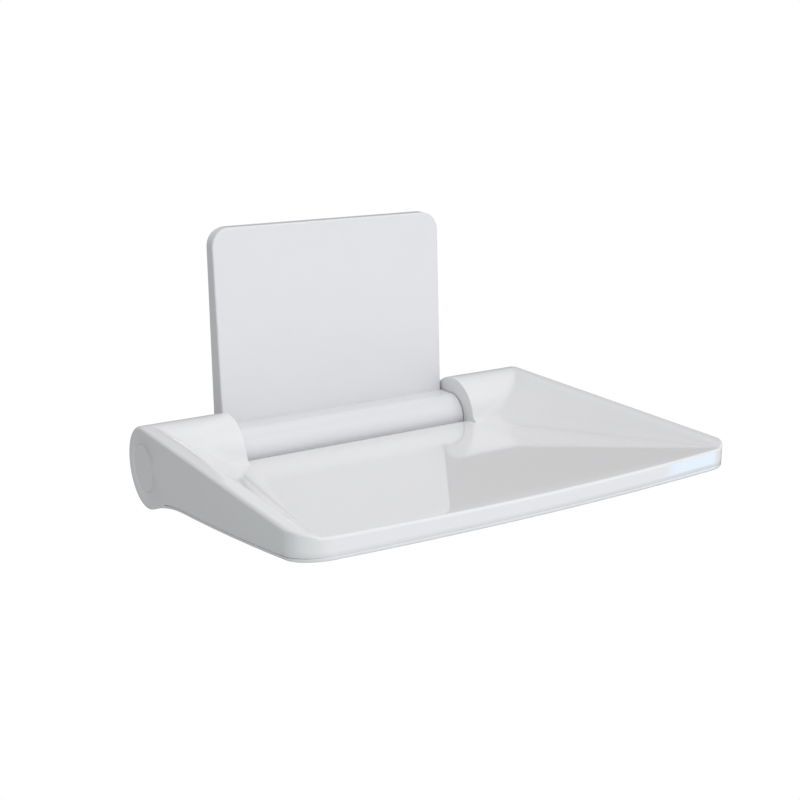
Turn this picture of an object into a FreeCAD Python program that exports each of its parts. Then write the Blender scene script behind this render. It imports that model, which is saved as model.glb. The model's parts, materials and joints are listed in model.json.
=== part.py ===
import FreeCAD, Part
import math
import os

import Sketcher

# Fold down wall seat: a moulded seat with two round knuckles that swing about a fixed axle.
# Every piece is drawn about the hinge axis: X to the seat's right, Y to the wall, Z up, in millimetres.
# Its Placement then puts the axis in its place. The origin is the centre of the wall bolts on the wall.

DIMENSIONS = (
    # overall seat
    ("seat_width", 450.0, "width over the two side rims"),
    ("seat_reach", 343.8, "hinge axis to the middle of the front edge"),
    ("front_bow", 15.6, "how far the front edge bows out between its ends"),
    ("front_corner_radius", 32.0, "front corners seen from above"),
    ("knuckle_radius", 40.8, "rear round ends of the seat"),
    ("knuckle_gap", 267.4, "clear width between the two knuckles"),
    ("rim_width", 13.0, "flat strip on top of each side"),
    ("rim_front_height", 36.5, "top of the rim at the front edge, above the axis"),
    ("floor_slope", 0.1203, "rise of the dish floor per unit of length, towards the front"),
    ("flank_slope", 0.6128, "rise of the dish flanks per unit of length, towards the sides"),
    ("notch_depth", 24.5, "hinge axis to the rear edge of the dish floor"),
    ("under_leave_angle", 22.5, "where the underside leaves the knuckle, in degrees from straight down"),
    ("under_mid_reach", 91.0, "place along the underside where its hollow ends"),
    ("under_mid_drop", 17.8, "depth of the underside there, below the axis"),
    ("under_front_rise", 22.6, "height of the underside at the far front, above the axis"),
    ("under_bulge", 2.6, "how far the front part of the underside bulges down"),
    ("shell_wall", 4.0, "wall of the moulded shell"),
    ("cover_thickness", 3.5, "plate of the underside cover"),
    ("parting_gap", 0.5, "line that shows between shell and underside cover"),
    ("cover_back", 48.0, "hinge axis to the rear edge of the underside cover"),
    ("side_edge_radius", 2.6, "rounding of the outer side edges"),
    ("boss_radius", 5.0, "screw bosses inside the shell"),
    ("boss_bore_radius", 1.75, "pilot holes in the bosses"),
    ("boss_root", 1.0, "how far bosses and pegs sink into the wall they stand on"),
    ("rear_screw_back", 15.0, "rear edge of the underside cover to its rear screws"),
    ("rear_screw_spread", 66.85, "rear screws of the cover to each side of the middle"),
    ("front_screw_back", 25.0, "front edge to the middle front screw"),
    ("corner_screw_back", 45.0, "front edge to the screws near the corners"),
    ("corner_screw_side", 40.0, "outer side to the screws near the corners"),
    ("drawing_room", 30.0, "how far outlines run past the front edge before it is cut"),
    # underside cover
    ("cover_edge_radius", 3.2, "rounding round the bottom edge of the underside cover"),
    ("screw_shank_radius", 1.7, "moulded-in screws of the underside cover and the frame"),
    ("screw_hole_radius", 2.2, "clearance holes for those screws"),
    ("screw_head_radius", 3.6, "their heads"),
    ("screw_head_height", 1.8, "height of those heads"),
    ("screw_grip", 5.0, "how far those screws reach into a boss"),
    # hinge
    ("axis_to_wall", 42.3, "hinge axis to the wall"),
    ("axle_radius", 9.0, "fixed axle"),
    ("axle_to_side", 11.0, "ends of the axle to the sides of the seat"),
    ("running_gap", 0.05, "radial clearance of the bushes on the axle and of fitted pins"),
    ("free_gap", 1.0, "clearance round pieces that only pass through"),
    ("touch_gap", 0.3, "clearance between pieces that meet but don't carry each other"),
    ("bush_wall", 3.0, "wall of the hinge bushes"),
    ("bush_flange_radius", 15.5, "outer flange of the hinge bushes"),
    ("bush_flange", 2.0, "thickness of that flange"),
    ("hub_wall", 5.0, "wall of the arms' hubs round the bushes"),
    ("collar_air", 1.7, "air between the stop collars and the arms' hubs"),
    ("hub_to_side", 30.0, "outer end of the arms' hubs to the sides of the seat"),
    ("lobe_radius", 25.0, "round rear end of the arms' side plates"),
    ("lobe_width", 7.0, "thickness of that end"),
    ("arm_width", 24.0, "width of the arms' bars"),
    ("arm_front_gap", 71.8, "front edge to the front ends of the arms"),
    ("arm_air", 1.0, "air between the arms' bars and the shell"),
    ("arm_low_rear", 17.0, "depth of the bars' lower edge near the hub, below the axis"),
    ("arm_under_gap", 2.5, "air between the front ends of the arms and the underside cover"),
    ("bar_depth", 34.0, "cross bars, front to rear"),
    ("bar_height", 6.0, "height of the cross bars"),
    ("rear_bar_reach", 100.0, "hinge axis to the rear cross bar"),
    ("front_bar_back", 32.0, "front ends of the arms to the front cross bar"),
    ("bar_screw_spread", 90.0, "frame screws to each side of the middle"),
    # stops and friction stacks
    ("collar_width", 6.6, "width of the stop collars"),
    ("collar_radius", 23.0, "outside of the stop collars"),
    ("collar_root_radius", 15.8, "bottom of the gap in the stop collars"),
    ("stop_pin_radius", 3.0, "stop pins in the arms"),
    ("stop_pin_place", 19.4, "hinge axis to the stop pins"),
    ("stop_pin_angle", 135.0, "direction of the stop pins at rest, in degrees from the wall upwards"),
    ("stop_pin_turn", 9.0, "half the angle a stop pin takes up in the collar's gap, in degrees"),
    ("fold_angle", 90.0, "travel of the seat from level to folded up"),
    ("stop_play", 1.0, "play at each end of that travel, in degrees"),
    ("disc_thickness", 2.0, "friction discs"),
    ("disc_radius", 16.0, "outside of the friction discs and springs"),
    ("spring_thickness", 1.2, "sheet of the disc springs"),
    ("spring_cone", 0.9, "height of each disc spring's cone"),
    ("nut_radius", 15.6, "axle nuts over their corners"),
    ("nut_height", 9.0, "height of the axle nuts"),
    ("cap_radius", 23.5, "end caps over the hinge ends"),
    ("cap_thickness", 2.0, "plate of the end caps"),
    ("cap_spigot_radius", 20.9, "ring behind each cap that plugs into the seat"),
    ("cap_spigot_wall", 1.8, "wall of that ring"),
    ("cap_spigot_length", 7.0, "length of that ring"),
    ("cap_seam", 0.3, "seam round the end caps"),
    # wall side
    ("bolt_rise", 115.0, "hinge axis up to the middle of the wall bolts"),
    ("bolt_spread_x", 200.0, "wall bolts across"),
    ("bolt_spread_z", 130.0, "wall bolts up and down"),
    ("bolt_hole_radius", 4.5, "holes for M8 wall bolts"),
    ("plate_thickness", 4.0, "steel wall plate"),
    ("plate_inset", 9.7, "sides of the steel wall plate inside those of the wall cover"),
    ("plate_low", 34.0, "lower edge of the steel wall plate, below the axis"),
    ("plate_high", 213.0, "upper edge of the steel wall plate, above the axis"),
    ("plate_corner", 16.0, "corners of the steel wall plate"),
    ("ear_inset", 22.0, "middle of each ear from the side of the plate"),
    ("ear_thickness", 8.0, "thickness of the ears"),
    ("ear_radius", 18.0, "round front ends of the ears"),
    ("tube_radius", 14.0, "outside of the hinge tube"),
    ("tube_end_gap", 1.5, "air between the hinge tube and the barrel cover's ends"),
    ("tube_pin_radius", 2.0, "pins that lock the axle in the hinge tube"),
    ("tube_pin_place", 60.0, "locking pins to each side of the middle"),
    ("cover_side_gap", 2.0, "sides of the wall cover inside the knuckles' inner faces"),
    ("cover_top", 220.4, "top of the wall cover, above the axis"),
    ("cover_bottom", 41.0, "bottom of the wall cover, below the axis"),
    ("cover_corner", 19.0, "corners of the wall cover"),
    ("cover_front", 19.1, "front of the wall cover from the axis, at the height of the axis"),
    ("cover_lean", 0.0417, "how far the wall cover's front leans back per unit of height"),
    ("cover_wall", 3.0, "wall of the two fixed covers"),
    ("cover_face_radius", 1.8, "rounding round the wall cover's front"),
    ("seal_thickness", 1.0, "rubber seal behind the wall cover"),
    ("peg_radius", 3.0, "pegs inside the wall cover"),
    ("clip_radius", 6.0, "sockets on the wall plate that grip the pegs"),
    ("clip_length", 7.0, "length of those sockets"),
    ("clip_inset", 12.0, "sockets inside the sides of the steel plate"),
    ("clip_low", 55.0, "lower sockets above the axis"),
    ("clip_high", 198.0, "upper sockets above the axis"),
    ("barrel_radius", 23.15, "round front of the barrel cover"),
    ("barrel_end_gap", 1.2, "gap between the barrel cover's ends and the knuckles"),
    ("barrel_screw_radius", 2.0, "screws that hold the barrel cover from below"),
    ("barrel_screw_grip", 5.0, "how far those screws reach into the ears"),
    ("barrel_screw_behind", 10.0, "hinge axis back to those screws"),
)


class Size:
    """A length that carries its number and the sheet expression that gives it."""

    def __init__(self, value, text):
        self.value = value
        self.text = text

    def _with(self, other, sign, value):
        return Size(value, f"({self.text} {sign} {plain(other).text})")

    def __add__(self, other):
        return self._with(other, "+", self.value + plain(other).value)

    def __sub__(self, other):
        return self._with(other, "-", self.value - plain(other).value)

    def __mul__(self, other):
        return self._with(other, "*", self.value * plain(other).value)

    def __truediv__(self, other):
        return self._with(other, "/", self.value / plain(other).value)

    def __radd__(self, other):
        return plain(other) + self

    def __rsub__(self, other):
        return plain(other) - self

    def __rmul__(self, other):
        return plain(other) * self

    def __neg__(self):
        return Size(-self.value, f"(0 - {self.text})")


def plain(number):
    """A bare number as a Size, and a Size as it is."""
    return number if isinstance(number, Size) else Size(float(number), repr(float(number)))


def root(size):
    return Size(math.sqrt(size.value), f"sqrt({size.text})")


def sine(degrees):
    return Size(math.sin(math.radians(degrees.value)), f"sin({degrees.text})")


def cosine(degrees):
    return Size(math.cos(math.radians(degrees.value)), f"cos({degrees.text})")


def square(size):
    return size * size


doc = FreeCAD.newDocument("fold_down_wall_seat")
sheet = doc.addObject("Spreadsheet::Sheet", "dims")


class Dimensions:
    """The sheet's cells by name."""


d = Dimensions()
for row, (alias, number, meaning) in enumerate(DIMENSIONS, start=1):
    sheet.set(f"A{row}", alias)
    sheet.set(f"B{row}", repr(number))
    sheet.setAlias(f"B{row}", alias)
    sheet.set(f"C{row}", meaning)
    setattr(d, alias, Size(number, f"dims.{alias}"))
doc.recompute()


def bind(thing, prop, size):
    thing.setExpression(prop, plain(size).text)


def at(pair):
    return FreeCAD.Vector(plain(pair[0]).value, plain(pair[1]).value, 0)


def closed_sketch(body, name, role, start, steps, offset=None):
    """A closed outline on a plane of the body. Each step is (end,) or (point passed, end, radius)."""
    sketch = body.newObject("Sketcher::SketchObject", name)
    plane = [f for f in body.Origin.OriginFeatures if f.Role == role][0]
    sketch.AttachmentSupport = [(plane, "")]
    sketch.MapMode = "FlatFace"
    if offset is not None:
        bind(sketch, "AttachmentOffset.Base.z", offset)
    here = start
    ends = []
    for step in steps:
        there = step[0] if len(step) == 1 else step[1]
        if len(step) == 1:
            edge = sketch.addGeometry(Part.LineSegment(at(here), at(there)), False)
            first, last = 1, 2
        else:
            edge = sketch.addGeometry(Part.Arc(at(here), at(step[0]), at(there)), False)
            gaps = [sketch.getPoint(edge, end).distanceToPoint(at(here)) for end in (1, 2)]
            first, last = (1, 2) if gaps[0] < gaps[1] else (2, 1)
            number = sketch.addConstraint(Sketcher.Constraint("Radius", edge, plain(step[2]).value))
            bind(sketch, f"Constraints[{number}]", step[2])
        for kind, coordinate in (("DistanceX", here[0]), ("DistanceY", here[1])):
            rule = Sketcher.Constraint(kind, -1, 1, edge, first, plain(coordinate).value)
            number = sketch.addConstraint(rule)
            bind(sketch, f"Constraints[{number}]", coordinate)
        ends.append((edge, first, last))
        here = there
    for (edge, _, last), (following, first, _) in zip(ends, ends[1:] + ends[:1]):
        sketch.addConstraint(Sketcher.Constraint("Coincident", edge, last, following, first))
    return sketch


def circle_sketch(body, name, role, radius, offset=None, centre=(0, 0)):
    sketch = body.newObject("Sketcher::SketchObject", name)
    plane = [f for f in body.Origin.OriginFeatures if f.Role == role][0]
    sketch.AttachmentSupport = [(plane, "")]
    sketch.MapMode = "FlatFace"
    if offset is not None:
        bind(sketch, "AttachmentOffset.Base.z", offset)
    circle = Part.Circle(at(centre), FreeCAD.Vector(0, 0, 1), plain(radius).value)
    edge = sketch.addGeometry(circle, False)
    number = sketch.addConstraint(Sketcher.Constraint("Radius", edge, plain(radius).value))
    bind(sketch, f"Constraints[{number}]", radius)
    for kind, coordinate in (("DistanceX", centre[0]), ("DistanceY", centre[1])):
        rule = Sketcher.Constraint(kind, -1, 1, edge, 3, plain(coordinate).value)
        number = sketch.addConstraint(rule)
        bind(sketch, f"Constraints[{number}]", coordinate)
    return sketch


def box_steps(low, high):
    """Start and steps of a rectangle between two corners."""
    return (low[0], low[1]), [
        ((high[0], low[1]),),
        ((high[0], high[1]),),
        ((low[0], high[1]),),
        ((low[0], low[1]),),
    ]


def pad(body, name, sketch, length, symmetric=False):
    feature = body.newObject("PartDesign::Pad", name)
    feature.Profile = sketch
    feature.SideType = "Symmetric" if symmetric else "One side"
    bind(feature, "Length", length)
    return feature


def cut_through(body, name, sketch):
    feature = body.newObject("PartDesign::Pocket", name)
    feature.Profile = sketch
    feature.SideType = "Symmetric"
    feature.Type = "ThroughAll"
    return feature


def round_edges(body, name, base, radius, wanted):
    """Fillet of the base feature's edges for which wanted(edge) holds."""
    doc.recompute()
    names = [f"Edge{i}" for i, e in enumerate(base.Shape.Edges, start=1) if wanted(e)]
    if not names:
        raise ValueError(f"{name} finds no edge")
    feature = body.newObject("PartDesign::Fillet", name)
    feature.Base = (base, names)
    bind(feature, "Radius", radius)
    return feature


# Shapes of the seat

FULL_TURN = 360
FAR = d.seat_reach + d.drawing_room
half_width = d.seat_width / 2
knuckle_inner = d.knuckle_gap / 2
rim_inner = half_width - d.rim_width


def rim_height(y):
    """Top of the side rims at a place y along the seat."""
    return d.knuckle_radius + (d.knuckle_radius - d.rim_front_height) * y / d.seat_reach


def floor_height(y):
    """Top of the dish floor."""
    return d.rim_front_height - d.floor_slope * (d.seat_reach + y)


def sheet_line(slope, inset):
    """How far a sloped face drops when it moves in by inset."""
    return inset * root(1 + square(slope))


bow_radius = (square(half_width) + square(d.front_bow)) / (2 * d.front_bow)
bow_centre = bow_radius - d.seat_reach
leave_sine = sine(d.under_leave_angle)
leave_cosine = cosine(d.under_leave_angle)
leave_y = -d.knuckle_radius * leave_sine
leave_z = -d.knuckle_radius * leave_cosine
hollow_y = -d.under_mid_reach - leave_y
hollow_z = -d.under_mid_drop - leave_z
hollow_lean = hollow_y * leave_sine + hollow_z * leave_cosine
hollow_radius = (square(hollow_y) + square(hollow_z)) / (-2 * hollow_lean)
hollow_centre_y = leave_y - hollow_radius * leave_sine
hollow_centre_z = leave_z - hollow_radius * leave_cosine


def hollow_height(y, inset):
    """Underside between the knuckle and the place where its hollow ends."""
    return hollow_centre_z + root(square(hollow_radius + inset) - square(y - hollow_centre_y))


bulge_y = FAR - d.under_mid_reach
bulge_z = d.under_front_rise + d.under_mid_drop
chord = root(square(bulge_y) + square(bulge_z))
bulge_radius = square(chord) / (8 * d.under_bulge) + d.under_bulge / 2
bulge_up = bulge_radius - d.under_bulge
bulge_centre_y = -(FAR + d.under_mid_reach) / 2 + bulge_z / chord * bulge_up
bulge_centre_z = (d.under_front_rise - d.under_mid_drop) / 2 + bulge_y / chord * bulge_up


def bulge_height(y):
    """Underside in front of the place where its hollow ends."""
    return bulge_centre_z - root(square(bulge_radius) - square(y - bulge_centre_y))


def underside_height(y):
    """Underside at a place y along the seat."""
    return bulge_height(y) if y.value < -d.under_mid_reach.value else hollow_height(y, 0)


def underside_forward(end_y, lift):
    """The underside from the far front back to end_y, moved up by lift: start and steps."""
    way = -(FAR + d.under_mid_reach) / 2
    middle = (-d.under_mid_reach, lift - d.under_mid_drop)
    steps = [((way, bulge_height(way) + lift), middle, bulge_radius)]
    way = (end_y - d.under_mid_reach) / 2
    end = (end_y, hollow_height(end_y, 0) + lift)
    steps.append(((way, hollow_height(way, 0) + lift), end, hollow_radius))
    return (-FAR, d.under_front_rise + lift), steps


def turned_round(start, steps):
    """The same outline walked the other way."""
    stops = [start] + [step[-1] if len(step) == 1 else step[1] for step in steps]
    back = []
    for stop, step in zip(reversed(stops[:-1]), reversed(steps)):
        back.append((stop,) if len(step) == 1 else (step[0], stop, step[2]))
    return stops[-1], back


def front_end(body, inset):
    """Bows the front end of a seat piece and rounds its corners, seen from above."""
    side = half_width - inset
    bow = bow_radius - inset
    corner = d.front_corner_radius - inset
    corner_x = side - corner
    corner_y = bow_centre - root(square(bow - corner) - square(corner_x))
    meet_x = corner_x * bow / (bow - corner)
    meet_y = bow_centre + (corner_y - bow_centre) * bow / (bow - corner)
    slant = corner / root(plain(2))
    beyond = side + d.front_corner_radius
    outline = closed_sketch(
        body,
        "front_outline",
        "XY_Plane",
        (-side, corner_y),
        [
            ((-corner_x - slant, corner_y - slant), (-meet_x, meet_y), corner),
            ((plain(0), bow_centre - bow), (meet_x, meet_y), bow),
            ((corner_x + slant, corner_y - slant), (side, corner_y), corner),
            ((beyond, corner_y),),
            ((beyond, -FAR - d.front_corner_radius),),
            ((-beyond, -FAR - d.front_corner_radius),),
            ((-beyond, corner_y),),
            ((-side, corner_y),),
        ],
    )
    return cut_through(body, "front", outline)


def seat_block(body, inset, open_bottom):
    """The seat's outer form moved in by inset, with the dish taken out."""
    radius = d.knuckle_radius - inset
    side = half_width - inset
    top = (plain(0), radius)
    front_top = (-FAR, rim_height(-FAR) - inset)
    leave = (-radius * leave_sine, -radius * leave_cosine)
    round_back = ((radius, plain(0)), top, radius)
    if open_bottom:
        back = -(d.cover_back + d.shell_wall)
        way = (back + leave[0]) / 2
        steps = [
            (front_top,),
            ((-FAR, -FAR),),
            ((back, -FAR),),
            ((back, hollow_height(back, inset)),),
            ((way, hollow_height(way, inset)), leave, hollow_radius + inset),
            round_back,
        ]
    else:
        front_bottom, (bulge, hollow) = underside_forward(leave_y, 0)
        steps = [
            (front_top,),
            (front_bottom,),
            bulge,
            (hollow[0], leave, hollow_radius),
            round_back,
        ]
    profile = closed_sketch(body, "side_profile", "YZ_Plane", top, steps)
    pad(body, "block", profile, 2 * side, symmetric=True)
    front_end(body, inset)

    sections = []
    for name, y in (("rear", 2 * d.knuckle_radius), ("front", -FAR)):
        floor = floor_height(y) - sheet_line(d.floor_slope, inset)
        rim = rim_height(y) - sheet_line(d.flank_slope, inset)
        crease = rim_inner - (rim - floor) / d.flank_slope
        high = 2 * d.knuckle_radius
        wide = rim_inner + (high - rim) / d.flank_slope
        sections.append(
            closed_sketch(
                body,
                f"dish_{name}",
                "XZ_Plane",
                (-crease, floor),
                [((crease, floor),), ((wide, high),), ((-wide, high),), ((-crease, floor),)],
                offset=-y,
            )
        )
    dish = body.newObject("PartDesign::SubtractiveLoft", "dish")
    dish.Profile = sections[0]
    dish.Sections = [sections[1]]
    dish.Ruled = True

    for name, start in (("right", knuckle_inner + inset), ("left", -side)):
        ring = circle_sketch(body, f"knuckle_circle_{name}", "YZ_Plane", radius, offset=start)
        pad(body, f"knuckle_{name}", ring, side - knuckle_inner - inset)

    start, steps = box_steps(
        (-(knuckle_inner + inset), -(d.notch_depth + inset)),
        (knuckle_inner + inset, plain(2 * d.knuckle_radius)),
    )
    return cut_through(body, "barrel_notch", closed_sketch(body, "notch_outline", "XY_Plane", start, steps))


def is_outer_edge(edge):
    """Edges round the outside of a seat side, above and behind the underside cover."""
    box = edge.BoundBox
    on_side = box.XLength < 0.01 and abs(abs(box.XMin) - half_width.value) < 0.01
    above = box.ZMax > d.rim_front_height.value or box.YMin > -d.cover_back.value
    return on_side and above and box.YMax > -d.seat_reach.value / 2 and box.YLength > 0.5


# Tools for single pieces

PIECES = []
NONE = plain(0)


def finish(piece, name):
    """Names a piece and puts the hinge axis in its place."""
    piece.Label = name
    bind(piece, "Placement.Base.y", -d.axis_to_wall)
    bind(piece, "Placement.Base.z", -d.bolt_rise)
    PIECES.append(piece)
    return piece


def new_body(name):
    return doc.addObject("PartDesign::Body", name)


def cylinder(name, radius, length, centre, direction="X"):
    """A round bar that starts at centre and runs along direction. A bare centre is its place along X."""
    solid = doc.addObject("Part::Cylinder", name)
    bind(solid, "Radius", radius)
    bind(solid, "Height", length)
    turns = {
        "X": FreeCAD.Rotation(FreeCAD.Vector(0, 1, 0), 90),
        "Y": FreeCAD.Rotation(FreeCAD.Vector(1, 0, 0), -90),
        "Z": FreeCAD.Rotation(),
    }
    solid.Placement = FreeCAD.Placement(FreeCAD.Vector(), turns[direction])
    if not isinstance(centre, tuple):
        centre = (centre, NONE, NONE)
    for axis, place in zip("xyz", centre):
        bind(solid, f"Placement.Base.{axis}", place)
    return solid


def block(name, lengths, corner):
    solid = doc.addObject("Part::Box", name)
    for prop, length in zip(("Length", "Width", "Height"), lengths):
        bind(solid, prop, length)
    for axis, place in zip("xyz", corner):
        bind(solid, f"Placement.Base.{axis}", place)
    return solid


def cut(name, base, tools):
    """The base with each tool taken out."""
    for number, tool in enumerate(tools):
        result = doc.addObject("Part::Cut", f"{name}_cut_{number}")
        result.Base = base
        result.Tool = tool
        base = result
    return base


def fuse(name, solids):
    result = doc.addObject("Part::MultiFuse", name)
    result.Shapes = solids
    result.Refine = True
    return result


def group(name, solids):
    """Like pieces kept as separate solids of one node."""
    result = doc.addObject("Part::Compound", name)
    result.Links = solids
    return result


SIDES = (("left", -1), ("right", 1))


def span(side, near, length):
    """Start along X of a stretch of the given length whose near end lies at near from the middle."""
    return near if side > 0 else -(near + length)


# Seat shell: outer form, less the hollow, with screw bosses under the floor

outer = new_body("shell_outer")
seat_block(outer, NONE, open_bottom=False)
lift = d.cover_thickness + d.parting_gap
start, steps = underside_forward(-d.cover_back, lift)
steps += [((-d.cover_back, -FAR),), ((-FAR, -FAR),), (start,)]
lip = closed_sketch(outer, "lip_outline", "YZ_Plane", start, steps)
last = cut_through(outer, "lip", lip)
round_edges(outer, "side_rounding", last, d.side_edge_radius, is_outer_edge)

hollow = new_body("shell_hollow")
seat_block(hollow, d.shell_wall, open_bottom=True)

floor_drop = sheet_line(d.floor_slope, d.shell_wall)
rear_screw_y = -(d.cover_back + d.rear_screw_back)
corner_screw_x = half_width - d.corner_screw_side
corner_screw_y = -(d.seat_reach - d.corner_screw_back)
EDGE_SCREWS = (
    ("rear", NONE, rear_screw_y),
    ("rear_left", -d.rear_screw_spread, rear_screw_y),
    ("rear_right", d.rear_screw_spread, rear_screw_y),
    ("front", NONE, -(d.seat_reach - d.front_screw_back)),
    ("front_left", -corner_screw_x, corner_screw_y),
    ("front_right", corner_screw_x, corner_screw_y),
)
arm_reach = d.seat_reach - d.arm_front_gap
BARS = (("rear", d.rear_bar_reach), ("front", arm_reach - d.front_bar_back))
FRAME_SCREWS = tuple(
    (f"{place}_{name}", side * d.bar_screw_spread, -reach) for place, reach in BARS for name, side in SIDES
)


def bar_top(reach):
    """Top of a cross bar, under the lowest part of the floor above it."""
    return floor_height(-reach + d.bar_depth / 2) - floor_drop - d.arm_air - d.touch_gap


def boss_low(y):
    """Lower end of a boss, clear of the highest part of the underside cover below it."""
    return underside_height(y - d.boss_radius) + d.cover_thickness + d.touch_gap


bosses = []
pilots = []
pilot_depth = d.screw_grip + d.touch_gap
for name, x, y in EDGE_SCREWS:
    low = boss_low(y)
    height = floor_height(y) - floor_drop + d.boss_root - low
    bosses.append(cylinder(f"boss_{name}", d.boss_radius, height, (x, y, low), "Z"))
    pilots.append(cylinder(f"pilot_{name}", d.boss_bore_radius, pilot_depth, (x, y, low), "Z"))
for name, x, y in FRAME_SCREWS:
    low = bar_top(-y) + d.touch_gap
    height = floor_height(y) - floor_drop + d.boss_root - low
    bosses.append(cylinder(f"frame_boss_{name}", d.boss_radius, height, (x, y, low), "Z"))
    pilots.append(cylinder(f"frame_pilot_{name}", d.boss_bore_radius, pilot_depth, (x, y, low), "Z"))
axle_way = d.shell_wall + 2 * d.free_gap
cap_way = 3 * d.shell_wall
cap_hole_radius = d.cap_spigot_radius + 2 * d.running_gap
holes = []
for name, side in SIDES:
    near = span(side, knuckle_inner - d.free_gap, axle_way)
    holes.append(cylinder(f"axle_hole_{name}", d.axle_radius + d.free_gap, axle_way, near))
    near = span(side, half_width - 2 * d.shell_wall, cap_way)
    holes.append(cylinder(f"cap_hole_{name}", cap_hole_radius, cap_way, near))
    near = span(side, half_width - d.cap_thickness, d.shell_wall)
    holes.append(cylinder(f"cap_recess_{name}", d.cap_radius + d.cap_seam, d.shell_wall, near))
shell = cut("shell", outer, [hollow])
shell = fuse("shell_with_bosses", [shell] + bosses)
shell = cut("shell_holes", shell, holes + pilots)
finish(shell, "seat_shell")


# Underside cover: a plate under the shell, rounded round its bottom edge

under = new_body("underside")
rear_y = -(d.cover_back + d.parting_gap)
start, steps = underside_forward(rear_y, 0)
top_start, top_steps = turned_round(*underside_forward(rear_y, d.cover_thickness))
steps += [(top_start,)] + top_steps + [(start,)]
profile = closed_sketch(under, "side_profile", "YZ_Plane", start, steps)
pad(under, "plate", profile, d.seat_width, symmetric=True)
last = front_end(under, NONE)


def is_bottom_rim(edge):
    """Bottom edges of the cover along its sides, front and front corners."""
    middle = edge.valueAt((edge.FirstParameter + edge.LastParameter) / 2)
    if edge.BoundBox.YMax > rear_y.value - 0.01 and edge.BoundBox.YLength < 0.01:
        return False
    low = middle.z < underside_height(plain(middle.y)).value + d.cover_thickness.value / 2
    inside = abs(middle.x) < half_width.value - d.front_corner_radius.value
    return low and (not inside or middle.y < -d.seat_reach.value + d.front_bow.value)


round_edges(under, "bottom_rounding", last, d.cover_edge_radius, is_bottom_rim)
cover_holes = []
head_hole_radius = d.screw_head_radius + d.touch_gap
head_hole_depth = d.screw_head_height + d.free_gap
through = 3 * d.cover_thickness
for name, x, y in EDGE_SCREWS:
    place = (x, y, underside_height(y) - d.free_gap)
    cover_holes.append(cylinder(f"cover_head_{name}", head_hole_radius, head_hole_depth, place, "Z"))
    cover_holes.append(cylinder(f"cover_hole_{name}", d.screw_hole_radius, through, place, "Z"))
finish(cut("underside_cover", under, cover_holes), "seat_underside")


def headed_screw(name, x, y, seat, tip):
    """A screw that points up: its head's upper face at seat, its tip at tip."""
    low = seat - d.screw_head_height
    head = cylinder(f"{name}_head", d.screw_head_radius, d.screw_head_height, (x, y, low), "Z")
    shank = cylinder(f"{name}_shank", d.screw_shank_radius, tip - seat, (x, y, seat), "Z")
    return fuse(name, [head, shank])


screws = []
for name, x, y in EDGE_SCREWS:
    seat = underside_height(y) + d.screw_head_height
    tip = boss_low(y) + d.screw_grip
    screws.append(headed_screw(f"edge_screw_{name}", x, y, seat, tip))
finish(group("edge_screws", screws), "underside_screws")


# Steel frame in the seat: two arms with hubs, two cross bars and their screws


arm_low_front = underside_height(-arm_reach) + d.cover_thickness + d.arm_under_gap
arm_rise = (arm_low_front + d.arm_low_rear) / (arm_reach - d.lobe_radius)


def arm_low(y):
    """Lower edge of an arm's bar."""
    return -d.arm_low_rear - arm_rise * (y + d.lobe_radius)


def arm_high(y):
    """Upper edge of an arm's bar."""
    return floor_height(y) - floor_drop - d.arm_air


bush_outer = d.axle_radius + d.running_gap + d.bush_wall
hub_radius = bush_outer + d.hub_wall
collar_start = knuckle_inner + d.shell_wall + d.free_gap
hub_start = collar_start + d.collar_width + d.collar_air
hub_length = half_width - d.hub_to_side - hub_start
hub_way = hub_length + 2 * d.free_gap
stop_y = d.stop_pin_place * cosine(d.stop_pin_angle)
stop_z = d.stop_pin_place * sine(d.stop_pin_angle)
pin_start = collar_start + d.touch_gap
pin_length = hub_start + d.lobe_width - pin_start
pin_hole_radius = d.stop_pin_radius + d.running_gap / 2
bush_hole_radius = bush_outer + d.running_gap / 2
axle_hole_radius = d.axle_radius + d.running_gap
for name, side in SIDES:
    bar = new_body(f"arm_bar_{name}")
    rear = -d.axle_radius
    front = -arm_reach
    start = (rear, arm_low(rear))
    steps = [((front, arm_low(front)),), ((front, arm_high(front)),), ((rear, arm_high(rear)),), (start,)]
    near = span(side, hub_start, d.arm_width)
    profile = closed_sketch(bar, "bar_profile", "YZ_Plane", start, steps, offset=near)
    pad(bar, "bar", profile, d.arm_width)
    near = span(side, hub_start, hub_length)
    hub = cylinder(f"hub_{name}", hub_radius, hub_length, near)
    lobe = cylinder(f"lobe_{name}", d.lobe_radius, d.lobe_width, span(side, hub_start, d.lobe_width))
    bore_near = span(side, hub_start - d.free_gap, hub_way)
    bore = cylinder(f"hub_bore_{name}", bush_hole_radius, hub_way, bore_near)
    pin_hole_place = (span(side, hub_start - d.free_gap, 2 * d.lobe_width), stop_y, stop_z)
    pin_hole = cylinder(f"pin_bore_{name}", pin_hole_radius, 2 * d.lobe_width, pin_hole_place)
    arm = fuse(f"arm_solid_{name}", [bar, hub, lobe])
    finish(cut(f"arm_{name}", arm, [bore, pin_hole]), f"hinge_arm_{name}")

    sleeve = cylinder(f"sleeve_{name}", bush_outer, hub_length, near)
    near = span(side, hub_start + hub_length, d.bush_flange)
    flange = cylinder(f"flange_{name}", d.bush_flange_radius, d.bush_flange, near)
    near = span(side, hub_start - d.free_gap, 2 * hub_length)
    bush_bore = cylinder(f"bush_bore_{name}", axle_hole_radius, 2 * hub_length, near)
    bush = fuse(f"bush_solid_{name}", [sleeve, flange])
    finish(cut(f"bush_{name}", bush, [bush_bore]), f"hinge_bush_{name}")

stop_pins = []
for name, side in SIDES:
    place = (span(side, pin_start, pin_length), stop_y, stop_z)
    stop_pins.append(cylinder(f"stop_pin_{name}", d.stop_pin_radius, pin_length, place))
finish(group("stop_pin_pair", stop_pins), "stop_pins")

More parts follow.
